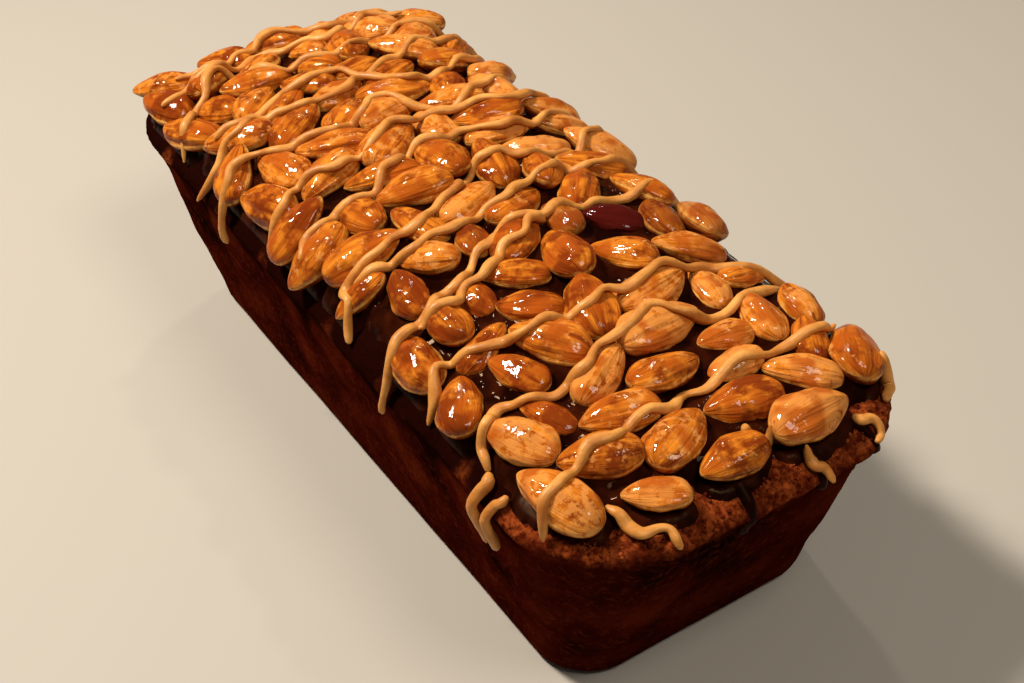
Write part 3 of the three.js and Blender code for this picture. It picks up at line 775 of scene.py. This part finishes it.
def modelAlmond(kind):
    pickNone()
    bpy.ops.mesh.primitive_uv_sphere_add(
        segments=almond["around"], ring_count=almond["along"], radius=1, location=(0, 0, 0))
    piece = bpy.context.object
    bpy.ops.object.mode_set(mode="EDIT")
    bpy.ops.mesh.select_all(action="SELECT")
    bpy.ops.transform.rotate(value=math.pi / 2, orient_axis="Y", center_override=(0, 0, 0))
    model = bmesh.from_edit_mesh(piece.data)
    offset = Vector((7.3 * kind, 1.9 * kind, 4.1 * kind))
    tip, blunt = almond["tipPower"], almond["bluntPower"]
    widest = (blunt - tip) / (blunt + tip)
    full = (1 - widest) ** tip * (1 + widest) ** blunt
    for vertex in model.verts:
        t = min(max(vertex.co.x, -1), 1)
        angle = math.atan2(vertex.co.z, vertex.co.y)
        girth = (1 - t) ** tip * (1 + t) ** blunt / full
        wobble = angle + 0.5 * noise.noise(Vector((t * 1.7, kind, 0)))
        ridges = math.sin(7 * wobble + kind) + 0.6 * math.sin(11 * wobble + 2 * kind)
        swell = 1 + almond["ridge"] * ridges * (1 - t * t)
        swell += almond["dent"] * noise.noise(vertex.co * almond["dentScale"] + offset)
        flat = 1 - almond["keel"] * math.cos(angle) ** 2
        y = girth * swell * math.cos(angle) + almond["bend"] * (kind - 1.5) * (1 - t * t)
        z = girth * swell * flat * almond["plump"] * math.sin(angle)
        vertex.co = (t, y, z)
    bmesh.update_edit_mesh(piece.data)
    bpy.ops.object.mode_set(mode="OBJECT")
    return smoothOutwards(piece)


def makeAlmonds():
    kinds = [modelAlmond(kind) for kind in range(almond["kinds"])]
    random = makeRandom(almond["seed"])
    copies = []
    for index, nut in enumerate(laidNuts):
        pickOnly(kinds[int(random() * almond["kinds"])])
        bpy.ops.object.duplicate(linked=False)
        copy = bpy.context.object
        mesh = copy.data
        local = np.zeros(len(mesh.vertices) * 3, np.float32)
        mesh.vertices.foreach_get("co", local)
        local = local.reshape(-1, 3)
        flip = 1 if random() < 0.5 else -1
        shift = almond["patternShift"] * random()
        grown = local * (nut["length"] / 2, nut["width"] / 2, nut["thick"] / 2)
        addVectors(mesh, "nutSpace", grown + (shift, almond["patternApart"] * index, 0))
        localX, localY, localZ = local.T
        around = np.arctan2(localZ, localY)
        grainX = almond["grainAlong"] * localX + shift
        grainY = almond["grainAround"] * np.cos(around) + almond["grainApart"] * index
        grainZ = almond["grainAround"] * np.sin(around)
        addVectors(mesh, "nutGrain", np.column_stack([grainX, grainY, grainZ]))
        # a band round the nut's edge: a paler skin margin, with a painted rim sheen
        addFloats(mesh, "nutRimSheen", 1 - np.minimum(np.abs(localZ) / almond["rimBand"], 1))
        # the underside is darker: syrup glaze where the nut lies in it, with painted shade under the nut
        footShade = (-almond["footShadeFrom"] - localZ) / almond["footShadeBand"]
        addFloats(mesh, "nutFootShade", np.clip(footShade, 0, 1))
        addFloats(mesh, "nutDeep", np.full(len(local), soakedNuts.get(index, 0)))
        # nuts are a little paler towards the right, as in the photo
        drawn = almond["toneFrom"] + almond["toneSpread"] * random()
        tone = clamp(drawn - almond["toneAcross"] * nut["x"] / rim["width"])
        addFloats(mesh, "nutTone", np.full(len(local), skinTones.get(index, tone)))
        mesh.vertices.foreach_set("co", (grown * mm * (1, flip, 1)).astype(np.float32).ravel())
        if flip < 0:
            mesh.flip_normals()
        place = Matrix.Translation(Vector((nut["x"], nut["y"], nut["z"])) * mm)
        turn = Matrix.Rotation(nut["turn"], 4, "Z")
        lean = Matrix.Rotation(-math.atan(nut["slopeLong"]), 4, "Y")
        roll = Matrix.Rotation(math.atan(nut["slopeSide"]), 4, "X")
        copy.matrix_world = place @ turn @ lean @ roll
        copies.append(copy)
    pickNone()
    for kind in kinds:
        kind.select_set(True)
    bpy.ops.object.delete()
    return joinPieces(copies, "almonds")


def almondMaterial():
    material, tree, shader = newMaterial("glazedAlmond")
    space = readAttribute(tree, "nutSpace", "Vector")
    grain = readAttribute(tree, "nutGrain", "Vector")
    tone = readAttribute(tree, "nutTone")
    ridge = addNoise(tree, grain, 0.42, 3, 0.5)
    line = addNoise(tree, grain, 0.8, 4, 0.6)
    patch = addNoise(tree, space, 0.13, 3, 0.6)
    mottle = addNoise(tree, space, 0.42, 4, 0.6)
    sticky = addNoise(tree, space, 0.36, 2, 0.5)

    skin = addRamp(tree, ridge, [(0.31, almond["toast"]), (0.43, almond["amber"]), (0.62, almond["gold"])])
    furrow = addRamp(tree, line, [(0.35, 0.8), (0.43, 0.0), (0.55, 0.0), (0.575, 0.5), (0.60, 0.0)])
    skin = addMix(tree, furrow, skin, almond["toast"])
    dark = addMath(tree, "ADD", patch, addMath(tree, "MULTIPLY", tone, almond["toneWeight"]))
    dark = addMath(tree, "ADD", dark, addMath(tree, "MULTIPLY", mottle, almond["mottleWeight"]))
    skin = addMix(tree, addRamp(tree, dark, [(0.72, 0.0), (0.88, 0.92)]), skin, almond["glazeAndShade"])
    pale = addMath(tree, "SUBTRACT", addMath(tree, "MULTIPLY", mottle, almond["paleGain"]), tone)
    skin = addMix(tree, addRamp(tree, pale, [(0.78, 0.0), (1.0, 0.62)]), skin, almond["tan"])
    puddle = addRamp(tree, addNoise(tree, space, 0.14, 1, 0.4), [(0.36, 0.85), (0.49, 0.0)])
    skin = addMix(tree, puddle, skin, almond["stain"])
    # the nut's edge is paler: the skin's margin, with a painted rim sheen
    edge = addMath(tree, "MULTIPLY", readAttribute(tree, "nutRimSheen"), mottle)
    skin = addMix(tree, addRamp(tree, edge, [(0.30, 0.0), (0.52, 0.85)]), skin, almond["creamSheen"])
    # the underside turns to the dark glaze colour: syrup contact, with painted shade under the nut
    footShade = addMath(tree, "MULTIPLY", readAttribute(tree, "nutFootShade"), almond["footShadeShare"])
    skin = addMix(tree, footShade, skin, almond["glazeAndShade"])
    skin = addMix(tree, readAttribute(tree, "nutDeep"), skin, almond["darkRed"])
    tree.links.new(skin, shader.inputs["Base Color"])
    tree.links.new(addRamp(tree, mottle, [(0.35, 0.4), (0.65, 0.6)]), shader.inputs["Roughness"])
    furrows = addBump(tree, line, 0.5, 0.0006)
    tree.links.new(addBump(tree, ridge, 0.8, 0.0011, furrows), shader.inputs["Normal"])
    tree.links.new(addBump(tree, sticky, 0.5, 0.0007), shader.inputs["Coat Normal"])
    setGloss(shader, almond)
    return material


almondPiece = makeAlmonds()
paint(almondPiece, almondMaterial())
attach(almondPiece, "root")
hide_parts("almond_topping")
print("almonds modelled:", len(almondPiece.data.polygons))


drizzleLook = {
    "ringSides": 4, "radius": 1.5, "sink": 0.85, "press": 0.25, "spread": 0.16,
    "slowSwell": 4.1, "fastSwell": 2.3, "fastShare": 0.7,
    "tip": 0.5, "tipSteps": 4, "endShare": 0.55,
    "tan": (0.56, 0.225, 0.043),
    "light": (0.72, 0.33, 0.078),
    "shade": (0.42, 0.14, 0.024),
    "specular": 0.2, "coat": 0.1, "coatRoughness": 0.3,
}


def modelRope(name, path, radii, sides):
    # a round rope along the path, each point with its own radius
    pickNone()
    bpy.ops.curve.primitive_nurbs_path_add(location=(0, 0, 0))
    rope = bpy.context.object
    rope.name = name
    line = rope.data
    line.splines.clear()
    spline = line.splines.new("POLY")
    spline.points.add(len(path) - 1)
    for point, (x, y, z), radius in zip(spline.points, path, radii):
        point.co = (x * mm, y * mm, z * mm, 1)
        point.radius = radius
    line.bevel_depth = mm
    line.bevel_resolution = sides
    line.use_fill_caps = True
    line.twist_mode = "MINIMUM"
    pickOnly(rope)
    bpy.ops.object.convert(target="MESH")
    return bpy.context.object


def ropeRadii(path, phase):
    last = len(path) - 1
    radii = []
    distance = 0
    for index, point in enumerate(path):
        if index:
            distance += (Vector(point) - Vector(path[index - 1])).length
        swell = math.sin(distance / drizzleLook["slowSwell"] + 3 * phase)
        swell += drizzleLook["fastShare"] * math.sin(distance / drizzleLook["fastSwell"] + 5 * phase)
        radius = drizzleLook["radius"] * (1 + drizzleLook["spread"] * swell)
        end = min(index, last - index)
        taper = min(1, drizzleLook["tip"] + (1 - drizzleLook["tip"]) * end / drizzleLook["tipSteps"])
        radii.append(radius * taper * (drizzleLook["endShare"] if end == 0 else 1))
    return radii


def pressRope(rope, path):
    # where it lies, the drizzle has settled a little flat
    middles = np.array(path)
    for vertex in rope.data.vertices:
        index = int(np.argmin(((middles - vertex.co / mm) ** 2).sum(axis=1)))
        before, after = path[max(index - 1, 0)], path[min(index + 1, len(path) - 1)]
        lying = 1 - abs((Vector(after) - Vector(before)).normalized().z)
        middle = path[index][2] * mm
        vertex.co.z = middle + (vertex.co.z - middle) * (1 - drizzleLook["press"] * lying)


def makeDrizzle():
    ropes = []
    for group, phaseStep in ((strands, drizzle["strandPhase"]), (frontDrips, drizzle["dripPhase"])):
        for index, (hangs, points) in enumerate(group):
            draped = drapeStrand(hangs, points, phaseStep * index)
            path = [(x, y, z - drizzleLook["sink"]) for x, y, z in draped]
            rope = modelRope("rope", path, ropeRadii(path, index), drizzleLook["ringSides"])
            pressRope(rope, path)
            ropes.append(rope)
    return smoothOutwards(joinPieces(ropes, "drizzle"))


def drizzleMaterial():
    material, tree, shader = newMaterial("peanutButterDrizzle")
    place = readPlace(tree)
    cloud = addNoise(tree, place, 130, 4)
    fine = addNoise(tree, place, 1100, 4, 0.65)
    colour = addRamp(tree, cloud, [
        (0.32, drizzleLook["shade"]), (0.5, drizzleLook["tan"]), (0.7, drizzleLook["light"])])
    tree.links.new(colour, shader.inputs["Base Color"])
    tree.links.new(addRamp(tree, fine, [(0.3, 0.34), (0.7, 0.52)]), shader.inputs["Roughness"])
    soft = addBump(tree, cloud, 0.5, 0.0012)
    tree.links.new(addBump(tree, fine, 0.25, 0.00025, soft), shader.inputs["Normal"])
    setGloss(shader, drizzleLook)
    return material


drizzlePiece = makeDrizzle()
paint(drizzlePiece, drizzleMaterial())
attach(drizzlePiece, "root")
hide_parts("almond_topping")
print("drizzle modelled:", len(drizzlePiece.data.polygons))


syrup = {
    "acrossSteps": 116, "alongSteps": 300, "floor": 65, "insideRim": 2.5, "sideInset": 6.5,
    "below": 1.2, "edgeWidth": 4.0, "wobble": 1.6,
    "poolReach": 1.7, "poolHeight": 0.5, "poolEdge": 1.2,
    "meniscus": 1.0, "meniscusWidth": 0.8,
    "runRadius": 0.95, "runTop": 1.4, "runBulb": 0.55, "runStep": 1.2,
    "runStart": (7, 5.5, 4, 2.8, 1.8, 0.9), "sway": 0.9, "swayPitch": 4.5, "runSides": 4,
    "taperLength": 5, "bulbFrom": 2, "bulbWidth": 1.8, "swell": 0.12, "swellPitch": 2.7, "roundEnd": 1.4,
    "colour": (0.008, 0.0012, 0.0005), "warmColour": (0.034, 0.0055, 0.0015),
    "specular": 0.045, "glint": (1.0, 0.62, 0.36),
    "dullInset": 9, "dullBand": 4, "dullness": 0.38,
}

# runs of syrup down the side: where each leaves the rim, and how far it drops
syrupRuns = [
    (-6, -149.6, 8), (17, -149.6, 4), (35, -147.6, 3),
    (57.8, -52, 9), (57.8, 28, 7), (57.8, 96, 10), (-12, 149.8, 8), (26, 149.4, 6),
]


def syrupHeight(x, y):
    wander = syrup["wobble"] * (np.sin(x * 0.31 + y * 0.12) + np.sin(y * 0.27 - x * 0.09 + 1)) / 2
    sides = depthInside(x, y, rim) - syrup["sideInset"] + wander
    front = y + rim["length"] - bed["frontInset"] + wander
    back = rim["length"] - y - bed["backInset"] + wander
    inside = np.minimum(np.minimum(sides, front), back)
    nearest = np.full(x.shape, 1e3)
    for nut in laidNuts:
        u, v = inNutPlane(nut, x, y)
        ellipse = np.hypot(2 * u / nut["length"], 2 * v / nut["width"])
        away = np.hypot(x - nut["x"], y - nut["y"])
        nearest = np.minimum(nearest, away * (1 - 1 / np.maximum(ellipse, 1)))
    # a thick bed between the nuts, and a thin pool round each nut that lies outside it
    bedShare = np.sqrt(np.clip(inside / syrup["edgeWidth"], 0, 1))
    poolShare = np.sqrt(np.clip((syrup["poolReach"] - nearest) / syrup["poolEdge"], 0, 1))
    poolShare = poolShare * np.clip((depthInside(x, y, rim) - 1.5) / 2, 0, 1)
    bedRise = (bed["thickness"] + syrup["below"]) * bedShare
    poolRise = (syrup["poolHeight"] + syrup["below"]) * poolShare
    rise = syrup["meniscus"] * np.exp(-nearest / syrup["meniscusWidth"]) * np.maximum(bedShare, poolShare)
    return crustHeight(x, y) - syrup["below"] + np.maximum(bedRise, poolRise) + rise


def runPath(x, y, drop, phase):
    # over the rounded rim and down the wall, half sunk in it
    inward = Vector((-x, -y, 0)).normalized()
    aside = Vector((-inward.y, inward.x, 0))
    path = []
    for depth in syrup["runStart"]:
        spot = (x + inward.x * depth, y + inward.y * depth)
        path.append((*spot, float(crustHeight(*spot)) + 0.1))
    steps = math.ceil(drop / syrup["runStep"])
    for step in range(steps + 1):
        z = loaf["rimHeight"] - drop * step / steps
        out = float(depthInside(x, y, outlineAt(z))) + loaf["relief"] * 0.3
        sway = syrup["sway"] * math.sin(step * syrup["runStep"] / syrup["swayPitch"] + phase)
        path.append((x - inward.x * out + aside.x * sway, y - inward.y * out + aside.y * sway, z))
    return smoothPath(path, 2)


def runRadii(path, phase):
    places = [0]
    for index in range(1, len(path)):
        places.append(places[-1] + (Vector(path[index]) - Vector(path[index - 1])).length)
    radii = []
    for place in places:
        toEnd = places[-1] - place
        radius = syrup["runRadius"] + syrup["runTop"] * math.exp(-place / syrup["taperLength"])
        radius += syrup["runBulb"] * math.exp(-((toEnd - syrup["bulbFrom"]) / syrup["bulbWidth"]) ** 2)
        radius *= 1 + syrup["swell"] * math.sin(place / syrup["swellPitch"] + phase)
        tip = 1 - min(toEnd / syrup["roundEnd"], 1)
        radii.append(radius * math.sqrt(max(1 - tip ** 2, 0.02)))
    return radii


def modelSheet():
    # a fine grid laid over the crust, cut back inside the rim and closed underneath
    pickNone()
    bpy.ops.mesh.primitive_grid_add(
        x_subdivisions=syrup["acrossSteps"], y_subdivisions=syrup["alongSteps"], size=2, location=(0, 0, 0))
    sheet = bpy.context.object
    bpy.ops.object.mode_set(mode="EDIT")
    model = bmesh.from_edit_mesh(sheet.data)
    flat = np.array([vertex.co[:2] for vertex in model.verts]) * (rim["width"], rim["length"])
    heights = syrupHeight(*flat.T)
    outside = depthInside(*flat.T, rim) < syrup["insideRim"]
    bpy.ops.mesh.select_all(action="DESELECT")
    for vertex, (x, y), z, out in zip(model.verts, flat, heights, outside):
        vertex.co = Vector((x, y, z)) * mm
        vertex.select_set(bool(out))
    bmesh.update_edit_mesh(sheet.data)
    bpy.ops.mesh.delete(type="VERT")
    bpy.ops.mesh.select_all(action="SELECT")
    bpy.ops.mesh.region_to_loop()
    bpy.ops.mesh.extrude_edges_move(TRANSFORM_OT_translate={"value": (0, 0, 0)})
    model = bmesh.from_edit_mesh(sheet.data)
    for vertex in model.verts:
        if vertex.select:
            vertex.co.z = syrup["floor"] * mm
    bmesh.update_edit_mesh(sheet.data)
    bpy.ops.mesh.edge_face_add()
    bpy.ops.mesh.poke()
    bpy.ops.object.mode_set(mode="OBJECT")
    return sheet


def modelSyrup():
    # the syrup has dried duller where it is thin, at the rims and on its runs
    sheet = modelSheet()
    places = np.array([vertex.co[:2] for vertex in sheet.data.vertices]) / mm
    fromRim = depthInside(*places.T, rim)
    addFloats(sheet.data, "dull", np.clip((syrup["dullInset"] - fromRim) / syrup["dullBand"], 0, 1))
    pieces = [sheet]
    for index, (x, y, drop) in enumerate(syrupRuns):
        path = runPath(x, y, drop, 2.1 * index)
        run = modelRope("run", path, runRadii(path, 1.3 * index), syrup["runSides"])
        addFloats(run.data, "dull", np.ones(len(run.data.vertices)))
        pieces.append(run)
    return smoothOutwards(joinPieces(pieces, "syrup"))


def syrupMaterial():
    material, tree, shader = newMaterial("darkSyrup")
    place = readPlace(tree)
    ripple = addNoise(tree, place, 120, 2)
    colour = addRamp(tree, ripple, [(0.4, syrup["colour"]), (0.66, syrup["warmColour"])])
    tree.links.new(colour, shader.inputs["Base Color"])
    gloss = addRamp(tree, ripple, [(0.3, 0.03), (0.7, 0.09)])
    dull = addMath(tree, "MULTIPLY", readAttribute(tree, "dull"), syrup["dullness"])
    tree.links.new(addMath(tree, "ADD", gloss, dull), shader.inputs["Roughness"])
    tree.links.new(addBump(tree, ripple, 0.8, 0.0016), shader.inputs["Normal"])
    setGloss(shader, syrup)
    shader.inputs["Specular Tint"].default_value = (*syrup["glint"], 1)
    return material


syrupPiece = modelSyrup()
paint(syrupPiece, syrupMaterial())
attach(syrupPiece, "root")
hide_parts("almond_topping")
print("syrup modelled:", len(syrupPiece.data.polygons))


studio = {
    "target": (26.14, 21.32, 0), "distance": 556.26,
    "azimuth": -29.31, "elevation": 38.13, "roll": -4.81, "lens": 54.84,
    "lampAim": (0, 0, 0.05),
    "floorColour": (0.42, 0.385, 0.335), "floorRoughness": 0.7, "floorSize": 6,
    "worldColour": (0.98, 0.95, 0.90), "worldStrength": 0.09,
}

# place in metres, size in metres, power in watts, colour
lamps = {
    "key": ((-0.38, 0.44, 1.02), 0.2, 19, (1.0, 0.91, 0.79)),
    "front": ((0.14, -0.62, 0.98), 0.35, 5, (1.0, 0.92, 0.80)),
    "spark": ((0.35, 0.60, 0.8), 0.05, 1.2, (1.0, 0.91, 0.79)),
}


def makeCamera():
    azimuth, elevation = math.radians(studio["azimuth"]), math.radians(studio["elevation"])
    back = Vector((math.sin(azimuth) * math.cos(elevation),
                   -math.cos(azimuth) * math.cos(elevation), math.sin(elevation)))
    right = (-back).cross(Vector((0, 0, 1))).normalized()
    up = right.cross(-back)
    turn = Matrix((right, up, back)).transposed().to_4x4()
    spot = (Vector(studio["target"]) + back * studio["distance"]) * mm
    pickNone()
    bpy.ops.object.camera_add(location=spot)
    camera = bpy.context.object
    roll = Matrix.Rotation(math.radians(studio["roll"]), 4, "Z")
    camera.matrix_world = Matrix.Translation(spot) @ turn @ roll
    camera.data.lens = studio["lens"]
    camera.data.sensor_width = 36
    camera.data.clip_start = 0.01
    bpy.context.scene.camera = camera


def makeStudio():
    for name, (spot, size, power, colour) in lamps.items():
        pickNone()
        bpy.ops.object.light_add(type="AREA", location=spot)
        lamp = bpy.context.object
        lamp.name = name
        lamp.data.size = size
        lamp.data.energy = power
        lamp.data.color = colour
        aim = Vector(studio["lampAim"]) - Vector(spot)
        lamp.rotation_euler = aim.to_track_quat("-Z", "Y").to_euler()
    pickNone()
    bpy.ops.mesh.primitive_plane_add(size=studio["floorSize"], location=(0, 0, 0))
    floor = bpy.context.object
    floor.name = "floor"
    material, _, shader = newMaterial("paleFloor")
    shader.inputs["Base Color"].default_value = (*studio["floorColour"], 1)
    shader.inputs["Roughness"].default_value = studio["floorRoughness"]
    paint(floor, material)
    world = bpy.data.worlds.new("studio")
    world.use_nodes = True
    sky = world.node_tree.nodes["Background"]
    sky.inputs["Color"].default_value = (*studio["worldColour"], 1)
    sky.inputs["Strength"].default_value = studio["worldStrength"]
    bpy.context.scene.world = world
    bpy.context.scene.view_settings.view_transform = "Standard"


makeCamera()
makeStudio()
print("studio ready")
